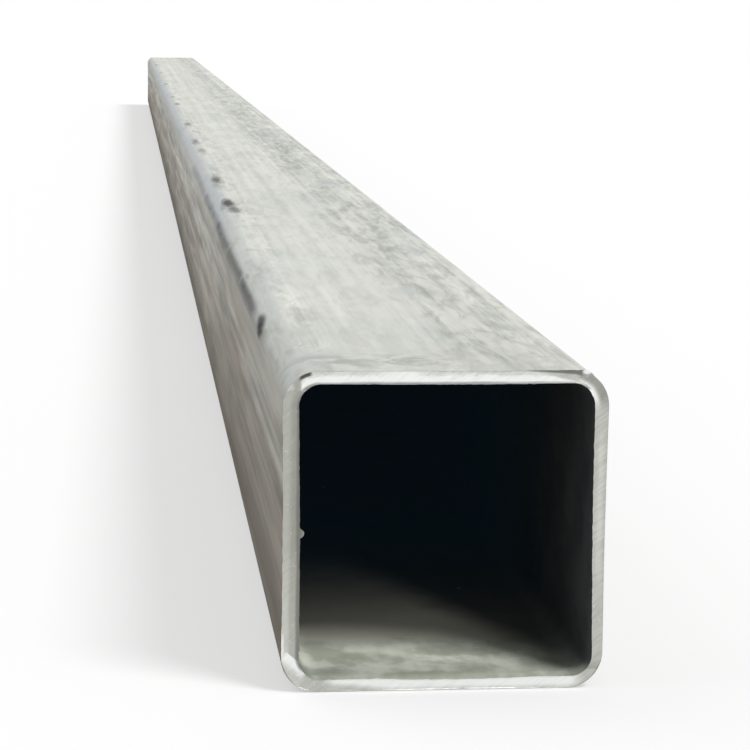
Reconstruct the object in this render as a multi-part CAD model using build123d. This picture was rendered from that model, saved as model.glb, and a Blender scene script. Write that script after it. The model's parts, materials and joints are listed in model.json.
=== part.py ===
"""Square steel tube: one 6 m length of cold-formed, seam-welded square hollow section.

Frame, in millimetres: X runs across the tube, Y along it and Z up. The tube lies on its flat bottom face.
The origin is the middle of that face, so the tube reaches half its length each way along Y.

One strip of steel is rolled to a round tube, welded along its two edges and squared up between rolls.
That leaves three marks of how it is made, and all three are modelled here:
 - corners that are round outside and inside, about one centre, so the wall is as thick in a bend as in a flat;
 - a bead of weld metal left along the inside of one wall, which was trimmed flush on the outside only;
 - plain ends, sawn square across the tube.
"""
import os

from build123d import *

# Driving dimensions. Each one can be changed by itself.
WIDTH = 140.0             # outside, from flat to flat, the same across and up
WALL = 6.3                # thickness of the steel
CORNER_RADIUS = 16.0      # outside of each rounded corner
LENGTH = 6000.0           # between the two sawn ends
WELD_BEAD_WIDTH = 4.5     # of the bead where it joins the inner wall
WELD_BEAD_HEIGHT = 1.8    # how far the bead stands in from that wall

# Dimensions that follow from them.
BORE_WIDTH = WIDTH - 2 * WALL
BORE_CORNER_RADIUS = CORNER_RADIUS - WALL
WELDED_WALL_FACE = -BORE_WIDTH / 2    # X of the inner face that carries the bead
MIDDLE_HEIGHT = WIDTH / 2             # Z of the tube's axis


def bead_profile():
    """The weld bead's section: a low arch on the welded wall, rooted half way into the steel."""
    root = WELDED_WALL_FACE - WALL / 2
    half_width = WELD_BEAD_WIDTH / 2
    with BuildSketch() as bead:
        with BuildLine():
            ThreePointArc((WELDED_WALL_FACE, half_width), (WELDED_WALL_FACE + WELD_BEAD_HEIGHT, 0),
                          (WELDED_WALL_FACE, -half_width))
            Polyline((WELDED_WALL_FACE, -half_width), (root, -half_width), (root, half_width),
                     (WELDED_WALL_FACE, half_width))
        make_face()
    return bead.sketch


def tube_section():
    """The tube's section about its axis: a rounded square ring, and the bead on its welded wall."""
    with BuildSketch() as section:
        RectangleRounded(WIDTH, WIDTH, CORNER_RADIUS)
        RectangleRounded(BORE_WIDTH, BORE_WIDTH, BORE_CORNER_RADIUS, mode=Mode.SUBTRACT)
        add(bead_profile())
    return section.sketch


def square_tube():
    """The section drawn out half the length each way from the middle of the tube."""
    middle = Plane(origin=(0, 0, MIDDLE_HEIGHT), x_dir=(1, 0, 0), z_dir=(0, -1, 0))
    with BuildPart() as tube:
        with BuildSketch(middle):
            add(tube_section())
        extrude(amount=LENGTH / 2, both=True)
    return tube.part


def main():
    tube = square_tube()
    tube.label = "square_tube"
    os.makedirs("parts", exist_ok=True)
    export_step(tube, "parts/square_tube.step")
    low, high = tube.bounding_box().min, tube.bounding_box().max
    print(f"square_tube: section {tube.volume / LENGTH:.0f} mm2 of steel, "
          f"X {low.X:.1f} to {high.X:.1f}, Y {low.Y:.1f} to {high.Y:.1f}, Z {low.Z:.1f} to {high.Z:.1f}")


main()
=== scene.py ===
# %% [markdown]
# # A six metre length of square steel tube
#
# The object is one piece: a strip of hot rolled steel that was rolled round, welded along its two
# edges, squared up between rolls and sawn to length. It has no parts that come off, so one closed
# mesh stands for it. What makes it look real is small: walls that aren't quite flat, a bead of weld
# along the inside, a ragged lip round each sawn end, and a grey skin that was drawn out lengthwise
# by the rolls and then stained in the yard.
#
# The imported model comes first. It is the fixed frame: its sizes are true, and everything made here
# is measured from it.

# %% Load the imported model
import json
import math

import bmesh
import bpy
from mathutils import Matrix, Quaternion, Vector, noise

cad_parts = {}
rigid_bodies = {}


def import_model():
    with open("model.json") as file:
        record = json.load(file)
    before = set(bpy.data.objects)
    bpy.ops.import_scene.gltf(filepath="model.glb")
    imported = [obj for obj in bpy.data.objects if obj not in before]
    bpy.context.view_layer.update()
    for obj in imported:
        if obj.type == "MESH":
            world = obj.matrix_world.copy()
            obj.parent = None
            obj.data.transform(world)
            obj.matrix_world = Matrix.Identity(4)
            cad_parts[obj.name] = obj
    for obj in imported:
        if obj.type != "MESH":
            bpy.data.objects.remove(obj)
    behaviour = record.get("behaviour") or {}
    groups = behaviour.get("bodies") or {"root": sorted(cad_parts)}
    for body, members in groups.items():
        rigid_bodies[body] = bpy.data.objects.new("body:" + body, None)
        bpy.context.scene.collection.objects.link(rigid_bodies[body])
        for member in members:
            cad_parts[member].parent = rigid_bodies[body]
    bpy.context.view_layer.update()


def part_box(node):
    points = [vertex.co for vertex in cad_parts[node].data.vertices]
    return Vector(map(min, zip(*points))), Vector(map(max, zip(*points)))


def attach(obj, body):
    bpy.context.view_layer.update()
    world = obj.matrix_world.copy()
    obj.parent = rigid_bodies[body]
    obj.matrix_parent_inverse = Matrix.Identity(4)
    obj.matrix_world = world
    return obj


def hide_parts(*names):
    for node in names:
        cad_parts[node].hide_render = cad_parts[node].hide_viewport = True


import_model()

# %% [markdown]
# ## Sizes
#
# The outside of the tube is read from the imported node, in metres. The wall, the corners and the weld
# bead can't be read from a box, so they have names here, with the sizes that such a tube is made to.
# X runs across the tube, Y along it and Z up, and the tube lies on its bottom face.

# %% Measure the tube
low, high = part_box("square_tube")
WIDTH = high.x - low.x
LENGTH = high.y - low.y
END = LENGTH / 2                    # how far each sawn end is from the middle of the tube
HALF_WIDTH = WIDTH / 2
MIDDLE = (low.z + high.z) / 2       # height of the tube's axis

WALL = 0.0063
CORNER_RADIUS = 0.016
CORNER_STEPS = 12                   # straight pieces in each rounded corner
FLAT_HALF = HALF_WIDTH - CORNER_RADIUS      # from the middle of a wall to where its corner starts
BORE_RADIUS = CORNER_RADIUS - WALL
BEAD_WIDTH = 0.0045
BEAD_HEIGHT = 0.0018
TINY = 1e-6                         # two places nearer than this count as one
print(f"tube {WIDTH * 1000:.1f} mm square and {LENGTH:.3f} m long, walls {WALL * 1000:.1f} mm")

# %% [markdown]
# ## The squared shell
#
# A tube like this could be drawn as a section and extruded. A box does as well, and it is shorter: a
# cube of the tube's size loses its two end faces, and its four long edges are bevelled to the corner
# radius. A bevel with a profile of 0.5 is a true arc, which is what the rolls leave.

# %% Bevel a box into a tube
tube = bmesh.new()
box_size = high - low
bmesh.ops.create_cube(
    tube, size=1.0, matrix=Matrix.Translation((low + high) / 2) @ Matrix.Diagonal((*box_size, 1.0)))
END_ON = 0.99                 # a face with more than this as its normal's y looks along the tube
open_ends = [face for face in tube.faces if abs(face.normal.y) > END_ON]
bmesh.ops.delete(tube, geom=open_ends, context="FACES_ONLY")


def along(edge):
    """How far an edge reaches along the tube."""
    return abs(edge.verts[0].co.y - edge.verts[1].co.y)


long_edges = [edge for edge in tube.edges if along(edge) > END]
bmesh.ops.bevel(
    tube, geom=long_edges, offset=CORNER_RADIUS, offset_type="OFFSET", segments=CORNER_STEPS,
    profile=0.5, affect="EDGES", material=-1)
print("shell:", len(tube.faces), "faces round the tube")

# %% [markdown]
# ## Lines down each wall
#
# Each wall is one wide face now, and it can't bend. A few cuts along it give it somewhere to bend
# later, and the cut down the middle of the bottom is also where the skin will be unrolled from. A
# bisecting plane cuts whatever it meets, so one plane serves two opposite walls.

# %% Cut the walls lengthwise
WALL_CUTS = (-0.0525, -0.018, 0.0, 0.018, 0.0525)     # from the middle of a wall
ACROSS = Vector((1, 0, 0))
LENGTHWISE = Vector((0, 1, 0))
UPWARD = Vector((0, 0, 1))
AXIS = Vector((0, 0, MIDDLE))


def cut(mesh, place, normal, faces=None):
    """Cuts a mesh, or only some of its faces, where a plane meets it."""
    faces = mesh.faces[:] if faces is None else faces
    edges = {edge for face in faces for edge in face.edges}
    corners = {corner for face in faces for corner in face.verts}
    bmesh.ops.bisect_plane(
        mesh, geom=[*corners, *edges, *faces], dist=1e-7, plane_co=place, plane_no=normal)


for offset in WALL_CUTS:
    cut(tube, AXIS + ACROSS * offset, ACROSS)
    cut(tube, AXIS + UPWARD * offset, UPWARD)
bmesh.ops.recalc_face_normals(tube, faces=tube.faces[:])
print("after the lengthwise cuts:", len(tube.faces), "faces")

# %% [markdown]
# ## Thickness
#
# Solidify gives the sheet its wall. It moves each point along its own normal, so the bore gets round
# corners about the same centres as the outside, and it closes both ends with a flat ring. Three
# kinds of face come out of it, and each will get its own finish, so they are told apart while it is
# easy: by how far they are from a square core that the corner centres mark out.

# %% Give the walls their thickness
bmesh.ops.solidify(tube, geom=tube.faces[:], thickness=WALL)
MILL_SKIN, BORE_SKIN, SAWN_END = range(3)


def from_core(point):
    """The way out from the core square to a point of the section, along the wall's own normal."""
    across, up = point.x, point.z - MIDDLE
    nearest = (max(-FLAT_HALF, min(FLAT_HALF, across)), max(-FLAT_HALF, min(FLAT_HALF, up)))
    return Vector((across - nearest[0], 0, up - nearest[1]))


for face in tube.faces:
    outer = from_core(face.calc_center_median()).length > CORNER_RADIUS - WALL / 2
    face.material_index = MILL_SKIN if outer else BORE_SKIN
    if abs(face.normal.y) > END_ON:
        face.material_index = SAWN_END
counts = [sum(face.material_index == kind for face in tube.faces) for kind in range(3)]
bore_reach = max(v.co.x for f in tube.faces if f.material_index == BORE_SKIN for v in f.verts)
print("outside, bore and ring faces:", counts, "- bore is", round(bore_reach * 2000, 2), "mm wide")

# %% [markdown]
# ## Rings along the length
#
# Next come cuts across the tube. Even ones every 30 mm let the walls wander a little. Close to each
# end there are more, nearer and nearer together, so that the ragged lip of the saw cut stays local
# and doesn't tilt the shading of the whole wall.

# %% Cut the tube across
ROWS = 200
END_RINGS = (0.0006, 0.0018, 0.005, 0.012)    # distances from a sawn end
long_edges = [edge for edge in tube.edges if along(edge) > END]
bmesh.ops.subdivide_edges(tube, edges=long_edges, cuts=ROWS - 1, use_grid_fill=True)
for ring in END_RINGS:
    for side in (-1, 1):
        cut(tube, LENGTHWISE * side * (END - ring), LENGTHWISE)
print("after the rings:", len(tube.faces), "faces")

# %% [markdown]
# ## The weld bead
#
# Where the strip's two edges were welded, hot metal was squeezed out on both sides. The outside was
# planed off flush in the mill, and the inside was left: a low, uneven rib along the middle of one
# wall. A separate strip laid on the wall would leave a seam, so the wall itself is raised. It gets
# close cuts over the width of the bead, and their points move in along an arch, with noise that
# makes the rib swell, shrink and wander.

# %% Raise the bead
BEAD_CUTS = 4                 # on each side of its crest
BEAD_SWELL = 0.22             # share of its height
BEAD_WANDER = 0.0004
BEAD_ARCH = 2.6               # power of the arch: 2 is a parabola, and more stands up more steeply
BEAD_FOOT = 0.999             # share of its half width past which a point stays on the wall
BEAD_FACES = 0.02             # faces nearer than this to the middle of the wall get the cuts
ON_THE_WALL = 1e-5
BORE_FACE = HALF_WIDTH - WALL


def on_welded_wall(point):
    return abs(point.x + BORE_FACE) < ON_THE_WALL and abs(point.z - MIDDLE) < FLAT_HALF


def faces_by_the_weld():
    """The faces of the welded wall on both sides of its middle line."""
    return [
        face for face in tube.faces
        if face.material_index == BORE_SKIN and all(on_welded_wall(v.co) for v in face.verts)
        and abs(face.calc_center_median().z - MIDDLE) < BEAD_FACES]


def drift_along(point, per_metre, seed):
    """Noise about 0 that changes only along the tube."""
    return noise.noise(Vector((0, point.y * per_metre, seed)))


for step in range(1, BEAD_CUTS + 1):
    for side in (-1, 1):
        height = AXIS + UPWARD * side * step / BEAD_CUTS * BEAD_WIDTH / 2
        cut(tube, height, UPWARD, faces_by_the_weld())

bead_points = 0
for point in tube.verts:
    off_crest = (point.co.z - MIDDLE) / (BEAD_WIDTH / 2)
    if on_welded_wall(point.co) and abs(off_crest) < BEAD_FOOT:
        swell = 1 + BEAD_SWELL * drift_along(point.co, 28, 3.1)
        point.co.x += BEAD_HEIGHT * (1 - abs(off_crest) ** BEAD_ARCH) * min(1.0, swell)
        point.co.z += BEAD_WANDER * drift_along(point.co, 4, 7.7)
        bead_points += 1
print("the bead has", bead_points, "points and stands", BEAD_HEIGHT * 1000, "mm in from the wall")

# %% [markdown]
# ## Walls that aren't quite flat
#
# Squaring a round tube leaves its walls a hair hollow, and the rolls let them drift along the
# length. It is half a millimetre at the most, far too little to see as a shape, but it is what makes
# the light on a long wall break up. Both skins of a wall move together, so its thickness is kept, and
# everything moves inwards, so the tube stays in its box.

# %% Sink the walls a little
HOLLOW = 0.00025             # depth of every wall along its middle line
DRIFT = 0.00022              # the most that is added to it
PER_HALF_WALL = 0.8          # how quickly the added part changes across a wall,
PER_METRE = 2.6              # along it
PER_WALL = 9.3               # and from one wall to the next


def sink(point):
    """How far a point of a wall lies below the true flat, and which way that is."""
    out = from_core(point)
    if min(abs(out.x), abs(out.z)) > TINY or out.length < BORE_RADIUS / 2:
        return Vector()
    on_side = abs(out.x) > abs(out.z)
    off_middle = ((point.z - MIDDLE) if on_side else point.x) / FLAT_HALF
    which = (1 if out.x > 0 else 2) if on_side else (3 if out.z > 0 else 4)
    place = Vector((off_middle * PER_HALF_WALL, point.y * PER_METRE, which * PER_WALL))
    drift = (1 + noise.noise(place)) / 2
    return -out.normalized() * (HOLLOW + DRIFT * drift) * (1 - off_middle ** 2)


moves = [sink(point.co) for point in tube.verts]
for point, move in zip(tube.verts, moves):
    point.co += move
print(f"walls sunk by up to {max(m.length for m in moves) * 1000:.2f} mm")

# %% [markdown]
# ## The sawn ends
#
# A cold saw leaves a flat ring with a thin lip of torn steel along both its edges. An inset over the
# whole ring makes a narrow band round each edge and sets the ring back from it, so the band's crest
# stands proud. The ring, the band and the last rows of skin are then divided finely all the way
# round, which gives the lip enough points to be ragged.

# %% Set the ring back and divide its edges
LIP = 0.0005                 # width of the band
LIP_DEPTH = 0.00025          # how far the ring lies behind the crest of the band
LIP_STEP = 0.0017            # spacing of the points along the lip
ring_faces = [face for face in tube.faces if face.material_index == SAWN_END]
inset = bmesh.ops.inset_region(
    tube, faces=ring_faces, thickness=LIP, depth=-LIP_DEPTH, use_even_offset=True, use_boundary=True)
for face in inset["faces"]:
    face.material_index = SAWN_END

fine_edges = {}
for edge in tube.edges:
    from_end = END - min(abs(v.co.y) for v in edge.verts)
    if along(edge) > TINY or from_end > END_RINGS[1] + TINY:
        continue
    cuts = round(edge.calc_length() / LIP_STEP) - 1
    goes_round = abs(from_core(edge.verts[0].co).length - from_core(edge.verts[1].co).length) < WALL / 3
    if cuts > 0 and goes_round:
        fine_edges.setdefault(cuts, []).append(edge)
for cuts, edges in fine_edges.items():
    bmesh.ops.subdivide_edges(tube, edges=edges, cuts=cuts, use_grid_fill=True)
ring_area = sum(face.calc_area() for face in tube.faces if abs(face.normal.y) > END_ON)
print("after the lips:", len(tube.faces), "faces; the two rings cover", round(ring_area * 1e6), "mm2")

# %% [markdown]
# ## Unrolling the skin
#
# The finishes are painted in space, from each point's own place, so they need no map. A game engine
# does, because it gets them baked into a picture. An automatic map would chop the tube into hundreds
# of scraps. Unrolled here it is six strips: the outside in two halves of three metres, the bore in
# two halves, and the two rings. The bore is only ever seen near its mouths, so a power stretches
# that part of its strips.

# %% Unroll the tube into six strips
NEAR, FAR = 0, 1
STRIPS = {                                # bottom edge and height of each strip in the map
    (MILL_SKIN, NEAR): (0.005, 0.305), (MILL_SKIN, FAR): (0.320, 0.305),
    (BORE_SKIN, NEAR): (0.635, 0.130), (BORE_SKIN, FAR): (0.775, 0.130),
    (SAWN_END, NEAR): (0.915, 0.035), (SAWN_END, FAR): (0.960, 0.035)}
MARGIN = 0.004
MOUTH_SHARE = 0.6


def way_round(point, beside):
    """Which share of the way round the section a point is, cut open at the middle of the bottom."""
    angle = math.atan2(point.x, point.z - MIDDLE)
    if abs(point.x) < TINY and point.z < MIDDLE:
        angle = math.copysign(math.pi, beside.x)
    return 0.5 + angle / (2 * math.pi)


def place_on_map(point, kind, half, beside):
    """Where a point goes in the unit square."""
    bottom, height = STRIPS[kind, half]
    round_share = way_round(point, beside)
    if kind == SAWN_END:
        depth = (CORNER_RADIUS - from_core(point).length) / WALL
        return MARGIN + (1 - 2 * MARGIN) * round_share, bottom + height * max(0.0, min(1.0, depth))
    from_mouth = (END - abs(point.y)) / END
    along_share = from_mouth ** MOUTH_SHARE if kind == BORE_SKIN else from_mouth
    return MARGIN + (1 - 2 * MARGIN) * along_share, bottom + height * round_share


unrolled = tube.loops.layers.uv.new("OFBake")
for face in tube.faces:
    middle = face.calc_center_median()
    half = NEAR if middle.y < 0 else FAR
    for loop in face.loops:
        loop[unrolled].uv = place_on_map(loop.vert.co, face.material_index, half, middle)
spots = [loop[unrolled].uv for face in tube.faces for loop in face.loops]
print("map spans", [round(max(s[i] for s in spots) - min(s[i] for s in spots), 3) for i in (0, 1)])

# %% [markdown]
# ## Burrs and a curled chip
#
# Now the lip can be torn. Along the bore edge the crest is pushed into the opening, mostly by a fifth
# of a millimetre, with a few larger flecks. Along the outside edge it is only nicked, because nothing
# may stand out of the tube's box. The inner lip of the near end is out of line as well: the blade
# dragged its left side into the bore and wore the other three back, the lower one most, with a dip.
# One curled chip is left on the outer corner at the upper right, where the blade came out. The noise
# is fixed, so every run tears the lips alike.

# %% Tear the lips
TEAR = 0.00020               # how far the bore's edge is pushed in, on average
FLECK = 0.0006               # what the largest flecks add to that
FLECK_SHARE = 0.34           # share of the noise, at its top, that makes flecks
NICK = 0.00018               # depth of the nicks in the outer edge, on average
WORN_SHARE = 0.55            # share of the noise, at its top, that lowers the crest
WORN_BACK = 0.0011           # how far the lower lip is worn back where it has no dip
DIP_MIDDLE = 0.006           # where the lower lip dips most
DIP_HALF = 0.034
DIP_SHARE = 0.9              # what the dip adds, as a share of the wear
TOP_SHARE = 0.6              # wear of the upper lip
RIGHT_SHARE = 0.1            # wear of the right lip, at its upper end
RIGHT_GROWTH = 1.7           # and what that gains down to its lower end
DRAGGED_IN = 0.0007          # how far the left lip is dragged in
LEFT_SHARE = 0.7
LEFT_GROWTH = 1.3
WEAR_DEPTH = 0.0030          # how far into the bore the wear reaches
CHIP_PLACE = Vector((0.0602, 0, MIDDLE + 0.0688))
CHIP_REACH = 0.0034
CHIP_HEIGHT = 0.0012


def ragged(point, coarseness, seed):
    """Noise from 0 to 1 along the lip, with a seed of its own at each end of the tube."""
    place = Vector((point.x * coarseness, point.y * 5 + seed, point.z * coarseness))
    return (1 + noise.noise(place)) / 2


def top_part(amount, share):
    """The top share of a number from 0 to 1, spread out to 0 to 1 again."""
    return max(0.0, amount - (1 - share)) / share


def wear(point, way_out):
    """How far the near end's lip lies back from the true bore, and less than 0 where it stands in."""
    low_down = (high.z - point.z) / WIDTH
    dip = max(0.0, 1 - ((point.x - DIP_MIDDLE) / DIP_HALF) ** 2)
    worn = max(0.0, way_out.z) * TOP_SHARE + max(0.0, -way_out.z) * (1 + dip * DIP_SHARE)
    worn += max(0.0, way_out.x) * (RIGHT_SHARE + low_down * RIGHT_GROWTH)
    dragged = max(0.0, -way_out.x) * (LEFT_SHARE + low_down * LEFT_GROWTH)
    return WORN_BACK * worn - DRAGGED_IN * dragged


torn = 0
for point in tube.verts:
    from_end = END - abs(point.co.y)
    if from_end > WEAR_DEPTH:
        continue
    out = from_core(point.co)
    way_out = out.normalized()
    if point.co.y < 0 and out.length < BORE_RADIUS + LIP * 2:
        inside = max(0.0, from_end - LIP_DEPTH) / (WEAR_DEPTH - LIP_DEPTH)
        point.co += way_out * wear(point.co, way_out) * (1 - inside) ** 2
    if from_end > TINY:
        continue
    torn += 1
    if out.length < CORNER_RADIUS - WALL / 2:
        fleck = top_part(ragged(point.co, 230, 4.0), FLECK_SHARE)
        point.co -= way_out * (TEAR * ragged(point.co, 520, 1.0) * 2 + FLECK * fleck)
    else:
        point.co -= way_out * NICK * ragged(point.co, 380, 2.0) * 2
    end_sign = math.copysign(1, point.co.y)
    point.co.y -= end_sign * LIP_DEPTH * top_part(ragged(point.co, 310, 3.0), WORN_SHARE)
    chip = 1 - (point.co - CHIP_PLACE - LENGTHWISE * point.co.y).length / CHIP_REACH
    if end_sign < 0 and chip > 0 and out.length > CORNER_RADIUS - WALL / 2:
        point.co += way_out * CHIP_HEIGHT * math.sqrt(chip)
print("the lips are torn at", torn, "points")

# %% [markdown]
# ## From loose geometry to a piece
#
# Both skins are smooth, and the ring is flat with hard edges, so the edges between two kinds of face
# are marked sharp. The mesh then becomes one object at the origin. It rides on the tube's body and
# takes the place of the plain node.

# %% Make the object
def put_in_scene(name, data):
    """Makes an object of this data at the origin."""
    made = bpy.data.objects.new(name, data)
    bpy.context.scene.collection.objects.link(made)
    return made


for face in tube.faces:
    face.smooth = face.material_index != SAWN_END
for edge in tube.edges:
    kinds = {face.material_index for face in edge.link_faces}
    edge.smooth = len(kinds) == 1
open_edges = sum(not edge.is_manifold for edge in tube.edges)
body_mesh = bpy.data.meshes.new("tube_body")
tube.to_mesh(body_mesh)
triangles = sum(len(face.verts) - 2 for face in tube.faces)
tube.free()

tube_body = put_in_scene("tube_body", body_mesh)
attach(tube_body, "root")
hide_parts("square_tube")
print("tube_body:", triangles, "triangles,", open_edges, "open edges")

# %% [markdown]
# ## Arithmetic on sockets
#
# A finish is a graph of nodes, and a graph is hard to read in code. Three small classes help. `Value`
# wraps an output socket and turns `a * 2 + b` into Math nodes.

# %% A socket that can be added and multiplied
class Value:
    """An output socket of a graph, with the arithmetic that the finishes use."""

    def __init__(self, graph, socket):
        self.graph, self.socket = graph, socket

    def math(self, operation, *numbers):
        return self.graph.node("ShaderNodeMath", {"operation": operation}, dict(enumerate(numbers)))

    def __add__(self, other):
        return self.math("ADD", self, other)

    def __sub__(self, other):
        return self.math("SUBTRACT", self, other)

    def __rsub__(self, other):
        return self.math("SUBTRACT", other, self)

    def __mul__(self, other):
        return self.math("MULTIPLY", self, other)

    __radd__ = __add__
    __rmul__ = __mul__

    def size(self):
        return self.math("ABSOLUTE", self)

    def larger(self, other):
        return self.math("MAXIMUM", self, other)

    def beside(self, name):
        """Another output of the node that this one comes from."""
        return Value(self.graph, self.socket.node.outputs[name])


# %% [markdown]
# `Graph` owns the nodes of a material or of the sky. It has one method that adds any node: its type,
# its settings, which come first because they can change its sockets, and then the numbers or links
# of its sockets. The other methods are short ways to add the nodes that are needed often.

# %% A graph of nodes
class Graph:
    """The nodes of a material or of the sky."""

    def __init__(self, tree):
        self.tree = tree

    def node(self, kind, settings=None, sockets=None, output=0):
        """Adds a node of any type and gives back one of its outputs."""
        made = self.tree.nodes.new(kind)
        for name, setting in (settings or {}).items():
            setattr(made, name, setting)
        for name, value in (sockets or {}).items():
            self.feed(made.inputs[name], value)
        return Value(self, made.outputs[output])

    def feed(self, socket, value):
        """Sets a socket to a number or colour, or links it to a value."""
        if isinstance(value, Value):
            self.tree.links.new(value.socket, socket)
        else:
            socket.default_value = value

    def tell(self, what):
        """Prints how many nodes there are by now."""
        print(f"{what}: {len(self.tree.nodes)} nodes")

    def length(self, place):
        sockets = {0: place}
        return self.node("ShaderNodeVectorMath", {"operation": "LENGTH"}, sockets, output="Value")

    def step(self, value, start, end):
        """A smooth step from 0 at start to 1 at end, which may be the smaller of the two."""
        sockets = {"Value": value, "From Min": start, "From Max": end}
        return self.node("ShaderNodeMapRange", {"interpolation_type": "SMOOTHSTEP"}, sockets)

    def band(self, value, start, end, soft):
        """1 between start and end, fading out over the soft distance on each side."""
        return self.step(value, start - soft, start + soft) * self.step(value, end + soft, end - soft)

    def mix(self, share, first, second):
        """One colour turning into another as the share goes from 0 to 1."""
        settings = {"data_type": "RGBA", "clamp_factor": True}
        return self.node("ShaderNodeMix", settings, {0: share, 6: first, 7: second}, output=2)

    def coat(self, tint, *coats):
        """A colour under coats of others, each given as its share and its tint, the first lowest."""
        for share, over in coats:
            tint = self.mix(share, tint, over)
        return tint

    def shade(self, tint, amount):
        """A colour made brighter or darker by a varying amount."""
        return self.node("ShaderNodeVectorMath", {"operation": "SCALE"}, {0: tint, "Scale": amount})

    def looked_at(self):
        """1 for what the camera sees, also in a mirror or through glass, and 0 for other light."""
        rays = self.node("ShaderNodeLightPath", output="Is Camera Ray")
        return rays.larger(rays.beside("Is Glossy Ray")).larger(rays.beside("Is Transmission Ray"))


# %% [markdown]
# `Finish` is the graph of a material. It knows its shader, and the place in the object that every
# pattern is painted from.

# %% A material and its patterns
class Finish(Graph):
    """A material, its shader, and the place that its patterns are painted from."""

    def __init__(self, name):
        self.material = bpy.data.materials.new(name)
        self.material.use_nodes = True
        super().__init__(self.material.node_tree)
        self.shader = self.tree.nodes["Principled BSDF"]
        self.place = self.node("ShaderNodeTexCoord", output="Object")
        parts = self.node("ShaderNodeSeparateXYZ", sockets={0: self.place})
        self.x, self.y, self.z = (parts.beside(axis) for axis in "XYZ")

    def surface(self, **sockets):
        """Sets the shader's own sockets, such as base_color or roughness."""
        for name, value in sockets.items():
            self.feed(self.shader.inputs[name.replace("_", " ").title().replace("Ior", "IOR")], value)

    def point(self, *parts):
        """A place, from its three parts."""
        return self.node("ShaderNodeCombineXYZ", sockets=dict(enumerate(parts)))

    def stretched(self, scale, place=None):
        """The place, multiplied by a different number along each axis."""
        sockets = {0: place or self.place, 1: scale}
        return self.node("ShaderNodeVectorMath", {"operation": "MULTIPLY"}, sockets)

    def cloud(self, scale, detail=3.0, roughness=0.5, shift=0.0, curl=0.0, place=None):
        """Noise about 0.5, in blotches of one over scale metres, which curl turns into wisps."""
        sockets = {"Vector": self.stretched(scale, place), "W": shift, "Scale": 1.0}
        sockets.update({"Detail": detail, "Roughness": roughness, "Distortion": curl})
        return self.node("ShaderNodeTexNoise", {"noise_dimensions": "4D"}, sockets)

    def spot(self, centre, reach, wobble=0.0, core=0.45):
        """1 about a place, out to the core, and 0 where an ellipsoid with these half axes ends."""
        sockets = {0: self.place, 1: centre}
        away = self.node("ShaderNodeVectorMath", {"operation": "SUBTRACT"}, sockets)
        ratio = self.stretched([1 / r for r in reach], away)
        return self.step(self.length(ratio) + wobble, 1.0, core)

    def marks(self, rows, wobble, core=0.45):
        """The strongest of several spots, each given as its centre, half axes and strength."""
        strongest = 0.0
        for centre, reach, strength in rows:
            strongest = (self.spot(centre, reach, wobble, core) * strength).larger(strongest)
        return strongest

    def relief(self, height):
        """A normal bent by a height in metres."""
        return self.node("ShaderNodeBump", sockets={"Height": height, "Strength": 1.0, "Distance": 1.0})


def colour(red, green, blue):
    return (red, green, blue, 1.0)


# %% [markdown]
# ## The mill skin
#
# Hot rolled strip comes with a thin grey oxide, and forming it into a tube draws that oxide out into
# lengthwise streaks. The streaks are noise that is stretched along Y: fine and almost endless for
# the marks of the rolls, wide and long for the drift between them. Cloudy blotches, which aren't
# stretched as much, are where the oxide is thicker or a damp patch dried. The three numbers of each
# pattern are blotches a metre along X, Y and Z.

# %% Patterns of the outside
mill = Finish("mill_skin")
roll_drift = mill.cloud((38, 0.35, 38))
roll_marks = mill.cloud((260, 1.6, 260), detail=4, roughness=0.6, shift=2.0)
blotches = mill.cloud((44, 8, 44), detail=4, roughness=0.52, shift=5.0, curl=0.5)
soft_blotches = mill.cloud((15, 4.0, 15), shift=9.0, curl=0.4)
smears = mill.cloud((125, 21, 125), detail=5, roughness=0.60, shift=12.0, curl=1.0)
end_smears = mill.cloud((70, 62, 70), detail=5, roughness=0.62, shift=17.0, curl=0.6)
grain = mill.cloud((640, 190, 640), detail=2, shift=1.0)
thin_streaks = mill.cloud((150, 1.3, 150), roughness=0.55, shift=7.0)
pale_streaks = mill.cloud((120, 0.9, 120), roughness=0.55, shift=11.0)
scuff_lines = mill.cloud((70, 17, 70), detail=2, shift=14.0, curl=1.6)
wobble = mill.cloud((50, 9, 50), shift=3.0) - 0.5
fine_wobble = mill.cloud((330, 55, 330), roughness=0.6, shift=6.0) - 0.5

RUN_SLOPE = 0.02              # how far the stains on a wall sink over each metre of length
sloping = mill.point(mill.x, mill.y, mill.z + mill.y * RUN_SLOPE)
wall_smears = mill.cloud((70, 0.9, 70), detail=4, roughness=0.55, shift=15.0, place=sloping)
wall_patches = mill.cloud(
    (58, 4.5, 58), detail=4, roughness=0.55, shift=16.0, curl=0.4, place=sloping)
mill.tell("patterns of the outside")

# %% [markdown]
# The top catches the light and is a pale, cool grey. Its left half is nearly even. The right half is
# blotched, and so is the strip by the left corner, where fine scuffs were rubbed bright.

# %% Colour of the top and of the sides that are alike
PALE_SCALE = colour(0.605, 0.610, 0.565)
DULL_SCALE = colour(0.365, 0.385, 0.352)
COOL_SCALE = colour(0.41, 0.45, 0.455)
WARM_SCALE = colour(0.52, 0.49, 0.44)
RUBBED = colour(0.70, 0.71, 0.67)
by_the_corner = mill.step(mill.x + wobble * 0.015, -0.036, -0.050)
blotchy = 0.35 + mill.step(mill.x + wobble * 0.02, -0.004, 0.024) * 0.65 + by_the_corner * 0.35
tone = mill.step(blotches * 0.30 + smears * 0.45 + roll_drift * 0.10 + roll_marks * 0.15, 0.36, 0.56)
cool_share = mill.step(soft_blotches * 0.7 + smears * 0.3, 0.50, 0.62)
warm_share = mill.step(thin_streaks * 0.6 + soft_blotches * 0.4 + wobble * 0.4, 0.56, 0.68)
scuffs = mill.step((scuff_lines - 0.5).size(), 0.030, 0.004) * mill.step(blotches, 0.47, 0.60)
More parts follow.
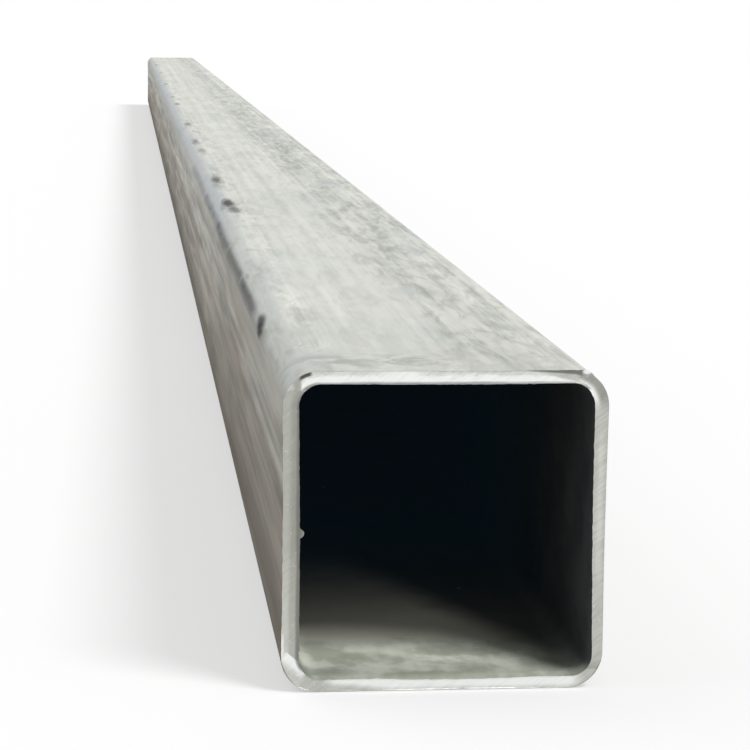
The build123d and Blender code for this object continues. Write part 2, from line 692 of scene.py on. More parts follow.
near_end = mill.step(mill.y + wobble * 0.02, -END + 0.090, -END + 0.030)
top_colour = mill.coat(
    PALE_SCALE, ((1 - tone) * blotchy, DULL_SCALE), (cool_share * blotchy * 0.45, COOL_SCALE),
    (warm_share * 0.20, WARM_SCALE), (scuffs * (0.20 + by_the_corner * 0.40) * (1 - near_end), RUBBED))
mill.tell("top finish")

# %% [markdown]
# Several streaks run along the top, darker or paler, where a roll pressed harder. They are zones
# across it with soft edges, and each multiplies the colour a little. Near the sawn end a band of the
# left half is made duller, and a thin pale line along the right edge, where the corner starts, is a
# painted highlight.

# %% Streaks, the duller band by the end, and the painted edge highlight
TOP_STREAKS = (      # start and end of each streak across the top, and how much paler it is
    (-0.0370, -0.0310, -0.03), (-0.0300, -0.0215, 0.05), (-0.0200, -0.0130, -0.03),
    (0.0100, 0.0420, -0.06), (0.0300, 0.0420, -0.03), (0.0430, 0.0475, 0.05))
STREAK_SOFTNESS = 0.0024
on_top = mill.step(mill.z, high.z - 0.003, high.z - 0.0005)
across = mill.x + wobble * 0.003
unevenness = (blotches - 0.5) * 0.15 + (smears - 0.5) * 0.40 + (roll_marks - 0.5) * 0.50
streaky = (blotchy * 0.5 + 0.5) * (1 - near_end * 0.6)
top_shade = 1 + (unevenness + (thin_streaks - 0.5) * 0.35) * streaky
for streak_start, streak_end, paler in TOP_STREAKS:
    streak = mill.band(across, streak_start, streak_end, STREAK_SOFTNESS)
    top_shade = top_shade + streak * on_top * paler
by_the_end = mill.band(mill.y + wobble * 0.01, -END + 0.012, -END + 0.044, 0.010)
# duller near the sawn end, most in a band over the left half
end_band_dulling = by_the_end * mill.step(mill.x, 0.015, -0.015) * 0.62 + near_end * 0.30
# painted highlight along the right edge, where the corner starts
right_edge_highlight = mill.band(mill.x + wobble * 0.001, 0.0530, 0.0548, 0.0007) * on_top
top_colour = mill.coat(
    mill.shade(top_colour, top_shade),
    (end_band_dulling * mill.step(end_smears, 0.40, 0.60), DULL_SCALE), (right_edge_highlight * 0.40, PALE_SCALE))
mill.tell("with its streaks")

# %% [markdown]
# The wall on the left faced the weather. It is brown and grey with dust and the first film of rust.
# It is painted palest just under its upper corner and darkest near the ground: painted light and shade
# for how much sky each height sees. It is also darker over the part nearest the near end.

# %% Colour of the weathered wall, with painted light and shade
WIPED_AND_LIT = colour(0.68, 0.67, 0.62)
DUSTY = colour(0.55, 0.52, 0.47)
GRIME_AND_SHADE = colour(0.20, 0.18, 0.15)
RUST_FILM = colour(0.40, 0.29, 0.21)
UNDER_CORNER = colour(0.52, 0.52, 0.475)
FAR_UNDER_CORNER = colour(0.62, 0.62, 0.585)
DARKEST = 0.45                # the least that its shade may fall to
up_the_wall = mill.z + wobble * 0.018 + (roll_drift - 0.5) * 0.020
# painted shade and light: darker toward the ground, paler higher up the wall
off_ground_share = mill.step(up_the_wall, low.z + 0.014, low.z + 0.068)
upper_band_light = mill.step(up_the_wall, low.z + 0.084, low.z + 0.098)
smeared = wall_smears * 0.35 + wall_patches * 0.35 + roll_marks * 0.20 + roll_drift * 0.10
wall_tone = mill.step(smeared, 0.40, 0.58)
# darker over roughly the last metre toward the near end
near_end_darkening = mill.step(mill.y + wobble * 0.8, -1.9, -2.6)
rust_share = mill.step(soft_blotches * 0.6 + thin_streaks * 0.4, 0.52, 0.66)
weathered_and_shaded = mill.coat(
    GRIME_AND_SHADE, (off_ground_share, DUSTY), (upper_band_light, WIPED_AND_LIT), ((1 - wall_tone) * 0.40, GRIME_AND_SHADE),
    (mill.step(pale_streaks, 0.56, 0.68) * 0.20, WIPED_AND_LIT),
    (mill.step(thin_streaks, 0.56, 0.66) * 0.20, GRIME_AND_SHADE),
    (near_end_darkening * (0.58 - upper_band_light * 0.28), GRIME_AND_SHADE), (rust_share * 0.22, RUST_FILM))

dull_band = mill.band(up_the_wall, low.z + 0.082, low.z + 0.091, 0.004)
wall_shade = 1.04 + (wall_smears - 0.5) * 0.8 + (wall_patches - 0.5) * 0.7 + (roll_marks - 0.5) * 0.6
wall_shade = wall_shade + (thin_streaks - 0.5) * 0.5 - dull_band * 0.17
# painted light: a paler strip just under the upper corner
under_corner = mill.step(up_the_wall, low.z + 0.108, low.z + 0.123)
under_tint = mill.mix(near_end_darkening, FAR_UNDER_CORNER, UNDER_CORNER)
weathered_and_shaded = mill.coat(
    mill.shade(weathered_and_shaded, wall_shade.larger(DARKEST)),
    (under_corner * (0.70 - near_end_darkening * 0.30), under_tint))
mill.tell("with the wall")

# %% [markdown]
# The corner between the two is the hardest worn place of the tube. Its upper part is polished to a
# bluish grey, and a dark uneven line runs below that for the first metre or so: partly a stain, and
# partly painted shade where the corner turns away from the light. From about 0.6 m behind the near
# end on, the polish is painted darker and bluer, partly as painted shade. The finish needs to know how
# far round the corner a point is, and an arctangent gives that angle: 0 at the top and 90 on the wall.

# %% Polish and dark line of the worn corner
POLISHED = colour(0.465, 0.500, 0.508)
FAR_POLISH_IN_SHADE = colour(0.385, 0.425, 0.465)
past_tangent = -FLAT_HALF - mill.x
above_centre = mill.z - (MIDDLE + FLAT_HALF)
turn = past_tangent.math("ARCTAN2", past_tangent, above_centre) * math.degrees(1.0)
weather_side = mill.step(turn + wobble * 10, 62, 75) * mill.step(mill.x, -0.050, -0.052)

worn = mill.step(turn + wobble * 40, -10, 32) * mill.step(turn, 76, 60)
polish = worn * (0.26 + (smears - 0.5) * 2.4 + (blotches - 0.5) * 2.0)
# partly painted shade: from about 0.6 m behind the near end on, the polish is darker and bluer
far_shade_share = mill.step(mill.y + wobble * 0.2, -2.50, -2.36)
polish = polish + worn * far_shade_share * 0.25
polish_tint = mill.mix(far_shade_share, POLISHED, FAR_POLISH_IN_SHADE)
skin_colour = mill.coat(top_colour, (weather_side, weathered_and_shaded), (polish.larger(0.0), polish_tint))

LINE_PARTS = (     # middle and half length along the corner, and how dark that part of the line is
    (-2.790, 0.045, 0.30), (-2.660, 0.080, 0.76), (-2.500, 0.095, 0.72), (-2.320, 0.100, 0.64),
    (-2.100, 0.140, 0.42), (-1.780, 0.170, 0.25))
along_corner = mill.y + wobble * 0.08
line_strength = 0.0
for part_middle, half_length, darkness in LINE_PARTS:
    part = mill.band(along_corner, part_middle - half_length, part_middle + half_length, 0.030)
    line_strength = (part * darkness).larger(line_strength)
line_turn = turn + wobble * 14 + fine_wobble * 2
# partly a stain, and partly painted shade where the corner turns away from the light
corner_line = mill.step(line_turn, 43, 60) * mill.step(line_turn, 86, 62)
corner_line = corner_line * line_strength * (0.92 + (smears - 0.5))
mill.tell("with the corner")

# %% [markdown]
# Where the tube was struck or lay against others, the corner has a dark spot near its end and long
# shallow dents filled with oxide further on. Each is an ellipsoid that fades out, and the largest
# value wins where two of them meet, so that they don't add up.

# %% Spots and dents of the worn corner
BLACK_OXIDE_AND_SHADE = colour(0.045, 0.045, 0.047)
SPOTS = (          # centre on the corner, half axes and darkness
    ((-0.0670, -2.789, high.z - 0.0069), (0.0050, 0.028, 0.0050), 0.90),
    ((-0.0679, -2.797, high.z - 0.0082), (0.0054, 0.028, 0.0054), 1.00),
    ((-0.0687, -2.806, high.z - 0.0095), (0.0050, 0.028, 0.0050), 0.95),
    ((-0.0650, -2.610, high.z - 0.0050), (0.0026, 0.022, 0.0026), 0.30))
DENTS = (          # place along the worn corner, half length and darkness of each long dent
    (-0.0545, -2.205, 0.042, 0.70), (-0.0568, -2.137, 0.056, 0.95), (-0.0600, -2.165, 0.040, 0.40),
    (-0.0562, -1.893, 0.076, 0.82), (-0.0580, -1.950, 0.070, 0.35), (-0.0550, -1.465, 0.070, 0.45),
    (-0.0572, -1.300, 0.085, 0.62), (-0.0560, -0.918, 0.075, 0.50), (-0.0552, -0.282, 0.070, 0.55),
    (-0.0570, 0.004, 0.050, 0.45), (-0.0560, 0.655, 0.070, 0.55), (-0.0556, 1.420, 0.050, 0.50),
    (-0.0566, 2.115, 0.060, 0.55))
DENT_HALF_WIDTH = 0.0066
DENT_HALF_HEIGHT = 0.0046
uneven_edge = wobble * 1.3 + fine_wobble * 0.9
long_dents = [
    ((dent_x, dent_y, high.z), (DENT_HALF_WIDTH, half_length, DENT_HALF_HEIGHT), darkness)
    for dent_x, dent_y, half_length, darkness in DENTS]
dents = mill.marks(SPOTS, uneven_edge * 0.3, core=0.20)
dents = dents.larger(mill.marks(long_dents, uneven_edge, core=0.10))
dark_marks = dents.larger(corner_line)
# near black for the spots, the dents and the corner line, whose darkness is partly painted shade
skin_colour = mill.mix(dark_marks * 0.92, skin_colour, BLACK_OXIDE_AND_SHADE)
mill.tell(f"with {len(SPOTS)} spots and {len(DENTS)} dents")

# %% [markdown]
# A few stains on the top are placed one by one. The right wall and the bottom were covered, so they are
# the same steel without the weather, a little duller.

# %% Stains, and the covered sides
COVERED = colour(0.50, 0.49, 0.45)
STAINS = (         # place on the top, and half width and half length, in metres
    (0.021, -2.612, 0.011, 0.026), (0.015, -2.718, 0.009, 0.018), (-0.050, -2.812, 0.003, 0.006),
    (0.046, -2.480, 0.008, 0.060), (0.038, -1.930, 0.013, 0.090), (-0.012, -0.750, 0.012, 0.120))
STAIN_DEPTH = 0.004           # how far down from the top a stain reaches
STAIN_STRENGTH = 0.30
top_stains = [
    ((stain_x, stain_y, high.z), (half_across, half_along, STAIN_DEPTH), STAIN_STRENGTH)
    for stain_x, stain_y, half_across, half_along in STAINS]
stains = mill.marks(top_stains, wobble * 2.0)
covered = mill.step(mill.x, 0.066, 0.0695).larger(mill.step(mill.z, low.z + 0.004, low.z + 0.0005))
covered = covered * (1 - weather_side)
skin_colour = mill.coat(
    skin_colour, (stains, COOL_SCALE), (covered * 0.55, COVERED),
    (covered * rust_share * 0.25, RUST_FILM))
mill.tell(f"with {len(STAINS)} stains")

# %% [markdown]
# The oxide is half way between a metal and a mineral, so its metallic value is low, and it is duller
# where it is dusty. The relief is real height in metres: five hundredths of a millimetre for the roll
# marks, and a third of a millimetre for the dents.

# %% Gloss and relief of the outside
ROLL_MARK_DEPTH = 0.00005
GRAIN_DEPTH = 0.00003
DENT_DEPTH = 0.00035
gloss_loss = (roll_marks - 0.5) * 0.25 + (blotches - 0.5) * 0.30
skin_height = roll_marks * ROLL_MARK_DEPTH + grain * GRAIN_DEPTH - dents * DENT_DEPTH
mill.surface(
    base_color=skin_colour,
    roughness=0.56 + gloss_loss + weather_side * 0.14 + dark_marks * 0.35,
    metallic=0.20 - weather_side * 0.15 - dark_marks * 0.20,
    specular_ior_level=0.05,
    normal=mill.relief(skin_height))
mill.tell("outside finish")

# %% [markdown]
# ## The bore
#
# Nobody wiped the inside. On the floor near the mouth lies pale, greenish grey dust, mottled and with
# darker marks where damp air dried on it; the long mark along the left corner is painted shade. From a
# hand's breadth in it is browner and thins out to plain dark scale. Its brightness rises and falls with
# the way in, which is painted light and shade, and toward the right wall it gives way to dark scale
# sooner the further in: a painted shadow of that wall. What the patterns go by is the way in from the
# mouth and the height over the floor.

# %% Patterns and dust of the bore
bore = Finish("bore_skin")
BORE_FLOOR = low.z + WALL
DUST_PALE = colour(0.73, 0.76, 0.655)
DUST_DULL = colour(0.47, 0.50, 0.41)
BROWN_DUST = colour(0.72, 0.71, 0.60)
DAMP_DUST_AND_SHADE = colour(0.33, 0.36, 0.28)
DUST_MARKS = (     # place on the floor, half width, half length and how dark each mark is
    (-0.0490, -2.988, 0.009, 0.012, 0.7), (-0.0420, -2.977, 0.009, 0.011, 0.8),
    (-0.0345, -2.968, 0.010, 0.010, 0.7), (-0.0250, -2.963, 0.009, 0.008, 0.4),
    (-0.0100, -2.996, 0.019, 0.008, 0.9), (0.0160, -2.990, 0.014, 0.006, 0.4),
    # the first mark on the next line, along the left corner of the floor, is painted shade
    (-0.0610, -2.988, 0.007, 0.030, 0.9), (0.0050, -2.965, 0.013, 0.007, 0.4))
MARK_HEIGHT = 0.012           # how far up from the floor a mark reaches
inward = END - bore.y.size()
mottles = bore.cloud((42, 42, 42), detail=4, roughness=0.55, shift=4.0)
fine_mottles = bore.cloud((190, 90, 190), shift=6.0)
bore_marks = bore.cloud((170, 2.0, 170), shift=8.0)
bore_tone = bore.step(mottles * 0.70 + fine_mottles * 0.20 + bore_marks * 0.10, 0.40, 0.60)
drift_in = inward + (mottles - 0.5) * 0.03
floor_marks = [
    ((mark_x, mark_y, BORE_FLOOR), (half_across, half_along, MARK_HEIGHT), darkness)
    for mark_x, mark_y, half_across, half_along, darkness in DUST_MARKS]
dust_marks = bore.marks(floor_marks, (mottles - 0.5) * 2.4, core=0.1)
dust_colour = bore.coat(
    DUST_DULL, (bore_tone, DUST_PALE), (bore.step(drift_in, 0.054, 0.070), BROWN_DUST),
    (dust_marks * 0.75, DAMP_DUST_AND_SHADE))
# painted light and shade: dimmed at the mouth, brightened a little further in and again deeper
floor_light_and_shade = 0.84 + bore.step(drift_in, 0.010, 0.036) * 0.40 - bore.step(drift_in, 0.044, 0.062) * 0.20
dust_colour = bore.shade(dust_colour, floor_light_and_shade + bore.step(drift_in, 0.070, 0.100) * 0.30)

near_floor = bore.z + (fine_mottles - 0.5) * 0.004
# painted shade: the right wall's shadow, reaching further across the deeper it goes
right_wall_shade = bore.step(bore.x + inward * 0.38 + (mottles - 0.5) * 0.012, 0.042, 0.077)
dust = bore.step(near_floor, BORE_FLOOR + 0.0060, BORE_FLOOR + 0.0008)
dust = dust * bore.step(drift_in, 0.260, 0.100) * (1 - right_wall_shade * 0.94)
bore.tell("dust")

# %% [markdown]
# A few crumbs of sawdust, bright steel, lie on the floor of the bore. They are too small to be worth
# their own meshes, so they are spots in the finish: a cellular noise gives one random point to each
# cell, and a second number per cell decides which of them are there.

# %% Crumbs of sawdust
CRUMB_CELLS = 60.0            # cells a metre, so one crumb at most every 17 mm
CRUMB_SIZE = 0.05             # share of a cell
CRUMB_RARITY = 0.72           # share of the cells that have none
cell_settings = {"feature": "F1", "voronoi_dimensions": "3D"}
cell_sockets = {"Vector": bore.place, "Scale": CRUMB_CELLS}
crumb_distance = bore.node("ShaderNodeTexVoronoi", cell_settings, cell_sockets, output="Distance")
cell_number = bore.node("ShaderNodeSeparateColor", sockets={0: crumb_distance.beside("Color")})
on_floor = bore.step(bore.z, BORE_FLOOR + 0.002, BORE_FLOOR + 0.0005)
crumbs = bore.step(crumb_distance, CRUMB_SIZE * 1.6, CRUMB_SIZE)
crumbs = crumbs * bore.step(cell_number, CRUMB_RARITY, CRUMB_RARITY + 0.02)
crumbs = crumbs * on_floor * bore.step(inward, 0.60, 0.25)
bore.tell("with the crumbs")

# %% [markdown]
# Under the dust is the same dark scale all along the bore. Daylight doesn't reach far into six metres
# of tube, and what the eye then sees is a very dark blue, not black. Deeper in, the scale is painted
# bluer and lighter for that dim light, and an emission of a few thousandths, a painted glow, stands
# for it as well. It is too weak to be a lamp, and telling Cycles so keeps the render quick.

# %% Finish of the bore
BORE_SCALE = colour(0.046, 0.052, 0.058)
DEEP_SCALE_AND_BLUE_LIGHT = colour(0.055, 0.095, 0.125)
SAWDUST = colour(0.78, 0.78, 0.76)
NO_GLOW = colour(0, 0, 0)
DEEP_GLOW = colour(0.0013, 0.0027, 0.0040)
deep = bore.step(inward + (mottles - 0.5) * 0.05, 0.06, 0.30)
bore_colour = bore.coat(
    BORE_SCALE, (bore_tone * 0.06, DUST_DULL), (deep, DEEP_SCALE_AND_BLUE_LIGHT), (dust, dust_colour),
    (crumbs, SAWDUST))
bore_height = fine_mottles * 0.00006 + bore_marks * 0.00004 + crumbs * 0.0004
bore.surface(
    base_color=bore_colour,
    roughness=0.62 + (mottles - 0.5) * 0.3,
    metallic=0.10 + crumbs * 0.5,
    specular_ior_level=0.2,
    emission_color=bore.mix(deep, NO_GLOW, DEEP_GLOW),
    emission_strength=1.0,
    normal=bore.relief(bore_height))
bore.material.cycles.emission_sampling = "NONE"
bore.tell("bore finish")

# %% [markdown]
# ## The sawn ring
#
# A saw leaves bright steel with curved strokes, which look straight over the width of a wall. They
# are noise too, drawn out along a line that leans over the section. Soil and flecks are on top.

# %% Saw strokes
sawn = Finish("sawn_end")
STROKE_LEAN = math.radians(38)        # of the strokes above the horizontal
along_stroke = sawn.x * math.cos(STROKE_LEAN) + sawn.z * math.sin(STROKE_LEAN)
across_stroke = sawn.z * math.cos(STROKE_LEAN) - sawn.x * math.sin(STROKE_LEAN)
stroke_place = sawn.point(along_stroke, sawn.y, across_stroke)
broad_strokes = sawn.cloud((35, 3, 260), shift=1.0, place=stroke_place)
fine_strokes = sawn.cloud((90, 3, 900), shift=2.0, place=stroke_place)
flecks = sawn.cloud((420, 3, 420), roughness=0.7, shift=3.0)
soil_patches = sawn.cloud((130, 3, 300), detail=4, roughness=0.65, shift=6.0, curl=0.8)
ring_drift = sawn.cloud((45, 3, 45), detail=2, shift=4.0) - 0.5
sawn.tell("stroke patterns")

# %% [markdown]
# The blade leans a little as it enters and leaves, so the ring is made of a few facets that meet
# along sharp lines. Each facet mirrors another part of the surroundings, and so has its own
# brightness: nearly white on the top wall and on the inner part of the bottom wall, grey down the
# left wall. The facets here are zones of the finish, with a step of relief at their borders, and that
# brightness is a painted reflection. A zone is told by the wall that it is on and by its depth, the way
# in from the outer edge.

# %% Bright facets of the ring
across_core = (sawn.x.size() - FLAT_HALF).larger(0.0)
up_core = ((sawn.z - MIDDLE).size() - FLAT_HALF).larger(0.0)
core_distance = across_core * across_core + up_core * up_core
depth = CORNER_RADIUS - core_distance.math("SQRT", core_distance) + ring_drift * 0.0012
facet_x = sawn.x + ring_drift * 0.003
on_top_wall = sawn.step(sawn.z, high.z - 0.0092, high.z - 0.0080)
on_bottom_wall = sawn.step(sawn.z, low.z + 0.0092, low.z + 0.0080)
on_left = sawn.step(sawn.x, -0.060, -0.062)
on_right = sawn.step(sawn.x, 0.056, 0.062) * sawn.step(sawn.z, low.z + 0.006, low.z + 0.014)

facet_fall = sawn.step(sawn.x, 0.030, 0.062) * 0.0056
top_facet = on_top_wall * sawn.step(facet_x, -0.0622, -0.0614) * sawn.step(facet_x, 0.0590, 0.0565)
top_facet = top_facet * sawn.step(depth - facet_fall, -0.0006, 0.0008)
facet_rise = sawn.step(facet_x, -0.020, -0.050) * 0.0022
bottom_facet = on_bottom_wall * sawn.step(depth - facet_rise, -0.0004, 0.0027)
bottom_facet = bottom_facet * sawn.step(facet_x, -0.0540, -0.0460) * sawn.step(facet_x, 0.0630, 0.0560)
right_crown = on_right * sawn.band(depth, 0.0018, 0.0042, 0.0010)
right_crown = right_crown * sawn.band(sawn.z + ring_drift * 0.02, low.z + 0.050, high.z - 0.030, 0.012)
left_outer = on_left * sawn.step(depth, 0.0054, 0.0022)
left_low = on_left * sawn.step(sawn.z + ring_drift * 0.02, low.z + 0.075, low.z + 0.030)
upper_right = sawn.step(sawn.x, 0.055, 0.058) * sawn.step(sawn.z, high.z - 0.019, high.z - 0.012)
corner_shade = upper_right * sawn.step(depth, 0.0042, 0.0026)
corner_arc = upper_right * sawn.step(depth, 0.0036, 0.0050)
sawn.tell("facet zones")

# %% [markdown]
# The edges of the ring are zones as well: a painted highlight on the outer lip along the top, painted
# shade on the inner lip along the top and left, and a dark line of painted shade under the bottom
# wall, where it meets its own shadow. The torn metal along the top is soiled.

# %% Lips and soil of the ring
# painted highlight on the outer lip, then painted shade on the inner lips and under the bottom wall
outer_lip_highlight = on_top_wall * sawn.step(depth, 0.0010, 0.0004)
inner_lip_shade = on_top_wall * sawn.step(depth, 0.0046, 0.0058) + on_left * sawn.step(depth, 0.0056, 0.0070)
under_edge_shade = sawn.step(depth, 0.0007, 0.0004) * sawn.step(sawn.z, low.z + 0.014, low.z + 0.010)
torn_here = 1 - sawn.band(facet_x, -0.0280, -0.0110, 0.0050) * 0.9
torn_zone = sawn.step(depth + (soil_patches - 0.5) * 0.008, 0.0036, 0.0010) * on_top_wall * torn_here
by_the_nick = sawn.band(facet_x, -0.0535, -0.0455, 0.0025) * sawn.step(depth, 0.0026, 0.0014)
soiled = torn_zone * 0.35 + by_the_nick * on_top_wall * 0.65
soil = sawn.step(soil_patches, 0.48, 0.60) * soiled
sawn.tell("with the lips")

# %% [markdown]
# The ring has a few marks, painted as light and shade: a white painted highlight over the lower left
# corner, with a painted glint above it, a dark brown painted shadow of a small step at the start of
# the bright facet, and along the upper edge a grey wedge of painted shadow under the torn lip, which
# ends in the curled chip and its painted highlight.

# %% Marks on the ring
# painted highlight over the lower left corner, with a painted glint above it
HIGHLIGHT_MIDDLE = (-0.0640, low.z + 0.0125)
HIGHLIGHT_LEAN = math.radians(-39)
highlight_x, highlight_z = sawn.x - HIGHLIGHT_MIDDLE[0], sawn.z - HIGHLIGHT_MIDDLE[1]
highlight_across = highlight_z * math.cos(HIGHLIGHT_LEAN) - highlight_x * math.sin(HIGHLIGHT_LEAN) + ring_drift * 0.0015
highlight_along = highlight_x * math.cos(HIGHLIGHT_LEAN) + highlight_z * math.sin(HIGHLIGHT_LEAN)
low_corner_highlight = sawn.step(highlight_across, -0.0048, -0.0004) * sawn.step(highlight_across, 0.0024, 0.0016)
low_corner_highlight = low_corner_highlight * sawn.step(highlight_along.size(), 0.0075, 0.0050)
glint = on_left * sawn.step(depth, 0.0016, 0.0009)
glint = glint * sawn.band(sawn.z, low.z + 0.014, low.z + 0.025, 0.003)
low_corner_highlight = low_corner_highlight.larger(glint * 0.8)
# painted shadow of a small step at the outer edge, and painted shade where the bright facet starts
nick_shadow = on_top_wall * sawn.step(depth + ring_drift * 0.001, 0.0023, 0.0012)
nick_shadow = nick_shadow * sawn.band(sawn.x, -0.0626, -0.0578, 0.0009)
facet_start_shade = sawn.band(facet_x, -0.0650, -0.0622, 0.0008) * on_top_wall

WEDGE_START = 0.028           # how far to the right the wedge starts
WEDGE_GROWTH = 0.072          # metres of width for each metre to the right
wedge_width = (sawn.x - WEDGE_START) * WEDGE_GROWTH + ring_drift * 0.001
# painted shadow under the torn lip, widening to the right
burr_shadow_wedge = sawn.step(depth - wedge_width, 0.0005, -0.0003) * on_top_wall
burr_shadow_wedge = burr_shadow_wedge * sawn.step(sawn.x, WEDGE_START, 0.038) * sawn.step(sawn.x, 0.0585, 0.0572)
chip_spot = (CHIP_PLACE.x, -END, CHIP_PLACE.z + 0.0004)
# painted highlight on the curled chip
chip_highlight = sawn.spot(chip_spot, (0.0026, 0.01, 0.0018), ring_drift)
sawn.tell("with the marks")

# %% [markdown]
# The colours go on like coats of paint: pale or grey steel first, then what is bright, then the
# strokes, the shaded places and the marks.

# %% Finish of the ring
BRIGHT_CUT_AND_SHEEN = colour(0.96, 0.975, 0.955)
PALE_CUT_AND_SHEEN = colour(0.62, 0.63, 0.58)
GREY_CUT = colour(0.37, 0.37, 0.33)
CUT_SHADE = colour(0.20, 0.20, 0.18)
NICK_SHADOW_BROWN = colour(0.07, 0.055, 0.04)
# painted reflection: the walls whose facets mirror more light are paler
pale_sheen_share = (on_right * 0.85).larger(on_bottom_wall * 0.9).larger(on_top_wall)
pale_sheen_share = pale_sheen_share.larger(left_outer * (0.50 + left_low * 0.50)).larger(left_low * 0.45)
# painted reflection and highlights, laid on as bright steel
sheen_and_highlights = (top_facet * (1 - torn_zone * 0.60)).larger(bottom_facet).larger(corner_arc * 0.8)
sheen_and_highlights = sheen_and_highlights.larger(low_corner_highlight).larger(right_crown * 0.25).larger(outer_lip_highlight * 0.35)
stroke_shade = sawn.step(broad_strokes * 0.35 + fine_strokes * 0.65, 0.58, 0.40)
stroke_share = 0.24 - sheen_and_highlights.larger(on_left * 0.6) * 0.17
ring_colour = sawn.coat(
    GREY_CUT, (pale_sheen_share, PALE_CUT_AND_SHEEN), (sheen_and_highlights, BRIGHT_CUT_AND_SHEEN), (soil, GREY_CUT),
    (corner_shade * 0.55, CUT_SHADE), (stroke_shade * stroke_share, CUT_SHADE),
    (sawn.step(flecks, 0.58, 0.72) * 0.40, BRIGHT_CUT_AND_SHEEN), (burr_shadow_wedge * 0.90, CUT_SHADE),
    (under_edge_shade * 0.85, CUT_SHADE), (inner_lip_shade * 0.85, CUT_SHADE), (chip_highlight, BRIGHT_CUT_AND_SHEEN),
    (facet_start_shade * 0.30, NICK_SHADOW_BROWN), (nick_shadow * 0.95, NICK_SHADOW_BROWN))
dark_cut = nick_shadow + burr_shadow_wedge * 0.5
ring_height = (broad_strokes * 0.00008 + fine_strokes * 0.00005) * (1 - on_top_wall * 0.6)
ring_height = ring_height + sheen_and_highlights * 0.00010 - dark_cut * 0.0002
sawn.surface(
    base_color=ring_colour,
    roughness=0.44 + (fine_strokes - 0.5) * 0.3,
    metallic=0.75 - dark_cut * 0.6,
    normal=sawn.relief(ring_height))
for finish in (mill, bore, sawn):
    body_mesh.materials.append(finish.material)
sawn.tell("ring finish")

# %% [markdown]
# ## The camera
#
# It stands a metre in front of the near end, a little to the left of it and twice as high as the tube,
# and looks along it. From there the far end is six metres further on, and the walls run together
# quickly, which is how one sees long stock on the ground.

# %% Set the camera
CAMERA_PLACE = Vector((-0.1352, -3.9824, 0.2912))
AIM = Vector((-0.0309, -3.0, 0.1380))
ROLL = math.radians(0.72)
PICTURE_SIDE = 750
camera_data = bpy.data.cameras.new("camera")
camera_data.lens = 113.77
camera_data.sensor_width = 36.0
camera_data.clip_start = 0.05
camera_data.clip_end = 1000.0
camera = put_in_scene("camera", camera_data)
camera.location = CAMERA_PLACE
camera.rotation_mode = "QUATERNION"
level = (AIM - CAMERA_PLACE).to_track_quat("-Z", "Y")
camera.rotation_quaternion = level @ Quaternion((0, 0, 1), ROLL)
bpy.context.scene.camera = camera


def pixel(point):
    """Where a point shows in the picture, counted from its upper left corner."""
    seen = camera.rotation_quaternion.inverted() @ (point - camera.location)
    pixels = camera_data.lens / camera_data.sensor_width * PICTURE_SIDE
    return tuple(round(PICTURE_SIDE / 2 + sign * pixels * part / -seen.z, 1)
                 for sign, part in ((1, seen.x), (-1, seen.y)))


for name, y in (("near", -END), ("far", END)):
    corners = [Vector((x, y, z)) for z in (high.z, low.z) for x in (low.x, high.x)]
    print(name, "end, top and bottom corners:", [pixel(corner) for corner in corners])

# %% [markdown]
# ## Light and surroundings
#
# Plain soft daylight: a large sun from the upper right and front, a weaker and still larger one from
# the upper left and behind, which takes the place of a bright part of the sky, and a pale sky all
# round. The sky is weaker for the light it gives than for how it looks, because a white background
# shouldn't flood the object. A Light Path node in the sky tells the two apart.

# %% Light the scene
def shine(name, direction, energy, spread):
    """A sun that stands in this direction and looks as many degrees wide as its spread."""
    light = bpy.data.lights.new(name, "SUN")
    light.energy = energy
    light.angle = math.radians(spread)
    lamp = put_in_scene(name, light)
    lamp.rotation_mode = "QUATERNION"
    lamp.rotation_quaternion = Vector(direction).to_track_quat("Z", "Y")


shine("sun", (0.461, -0.387, 0.799), 1.95, 20)
shine("fill", (-0.66, 0.28, 0.70), 0.80, 60)

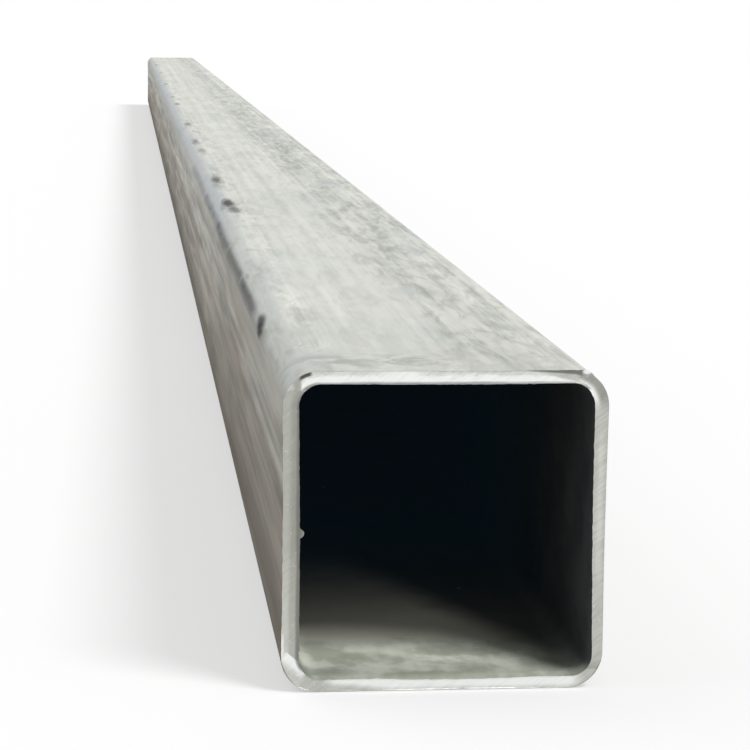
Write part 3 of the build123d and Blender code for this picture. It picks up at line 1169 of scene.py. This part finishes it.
SKY_LIGHT = 0.40
world = bpy.data.worlds.new("pale_sky")
bpy.context.scene.world = world
world.use_nodes = True
sky = Graph(world.node_tree)
strength_sockets = {"Value": sky.looked_at(), "To Min": SKY_LIGHT, "To Max": 1.0}
strength = sky.node("ShaderNodeMapRange", sockets=strength_sockets)
background = sky.tree.nodes["Background"]
sky.feed(background.inputs["Color"], colour(1, 1, 1))
sky.feed(background.inputs["Strength"], strength)
print("lights:", [lamp.name for lamp in bpy.data.lights], "and the sky at", SKY_LIGHT)

# %% [markdown]
# The floor is one large plane. To the eye it is nearly white and goes over into the white sky some
# metres away. For the light that it throws back it is a middle grey, like a concrete yard, so that
# the walls near the ground stay as dark as they should.

# %% Lay the floor
FLOOR_HALF_SIDE = 300.0
floor_shape = bmesh.new()
bmesh.ops.create_grid(floor_shape, x_segments=1, y_segments=1, size=FLOOR_HALF_SIDE)
floor_mesh = bpy.data.meshes.new("floor")
floor_shape.to_mesh(floor_mesh)
floor_shape.free()
floor = put_in_scene("floor", floor_mesh)
floor.location = (0, 0, low.z)

ground = Finish("pale_floor")
FADE_HALF_AXES = (2.5, 6.0)      # of the oval that the paint's fading is measured by
fade_place = ground.stretched((1 / FADE_HALF_AXES[0], 1 / FADE_HALF_AXES[1], 0))
fade = ground.step(ground.length(fade_place), 0.8, 3.0)
pale_paint = ground.node("ShaderNodeBsdfDiffuse", sockets={"Color": colour(0.93, 0.93, 0.93)})
grey_yard = ground.node("ShaderNodeBsdfDiffuse", sockets={"Color": colour(0.30, 0.30, 0.29)})
white_far = ground.node("ShaderNodeEmission", sockets={"Color": colour(1, 1, 1), "Strength": 1.0})
shown_sockets = {0: fade * 0.5 + 0.5, 1: pale_paint, 2: white_far}
shown = ground.node("ShaderNodeMixShader", sockets=shown_sockets)
floor_sockets = {0: ground.looked_at(), 1: grey_yard, 2: shown}
either = ground.node("ShaderNodeMixShader", sockets=floor_sockets)
ground.feed(ground.tree.nodes["Material Output"].inputs["Surface"], either)
ground.tree.nodes.remove(ground.shader)
floor_mesh.materials.append(ground.material)
print("floor:", FLOOR_HALF_SIDE * 2, "m wide")

# %% [markdown]
# ## Finish
#
# The picture is shown as it is computed, without a film look, so that a colour stays what was written.

# %% Finish
bpy.context.scene.view_settings.view_transform = "Standard"
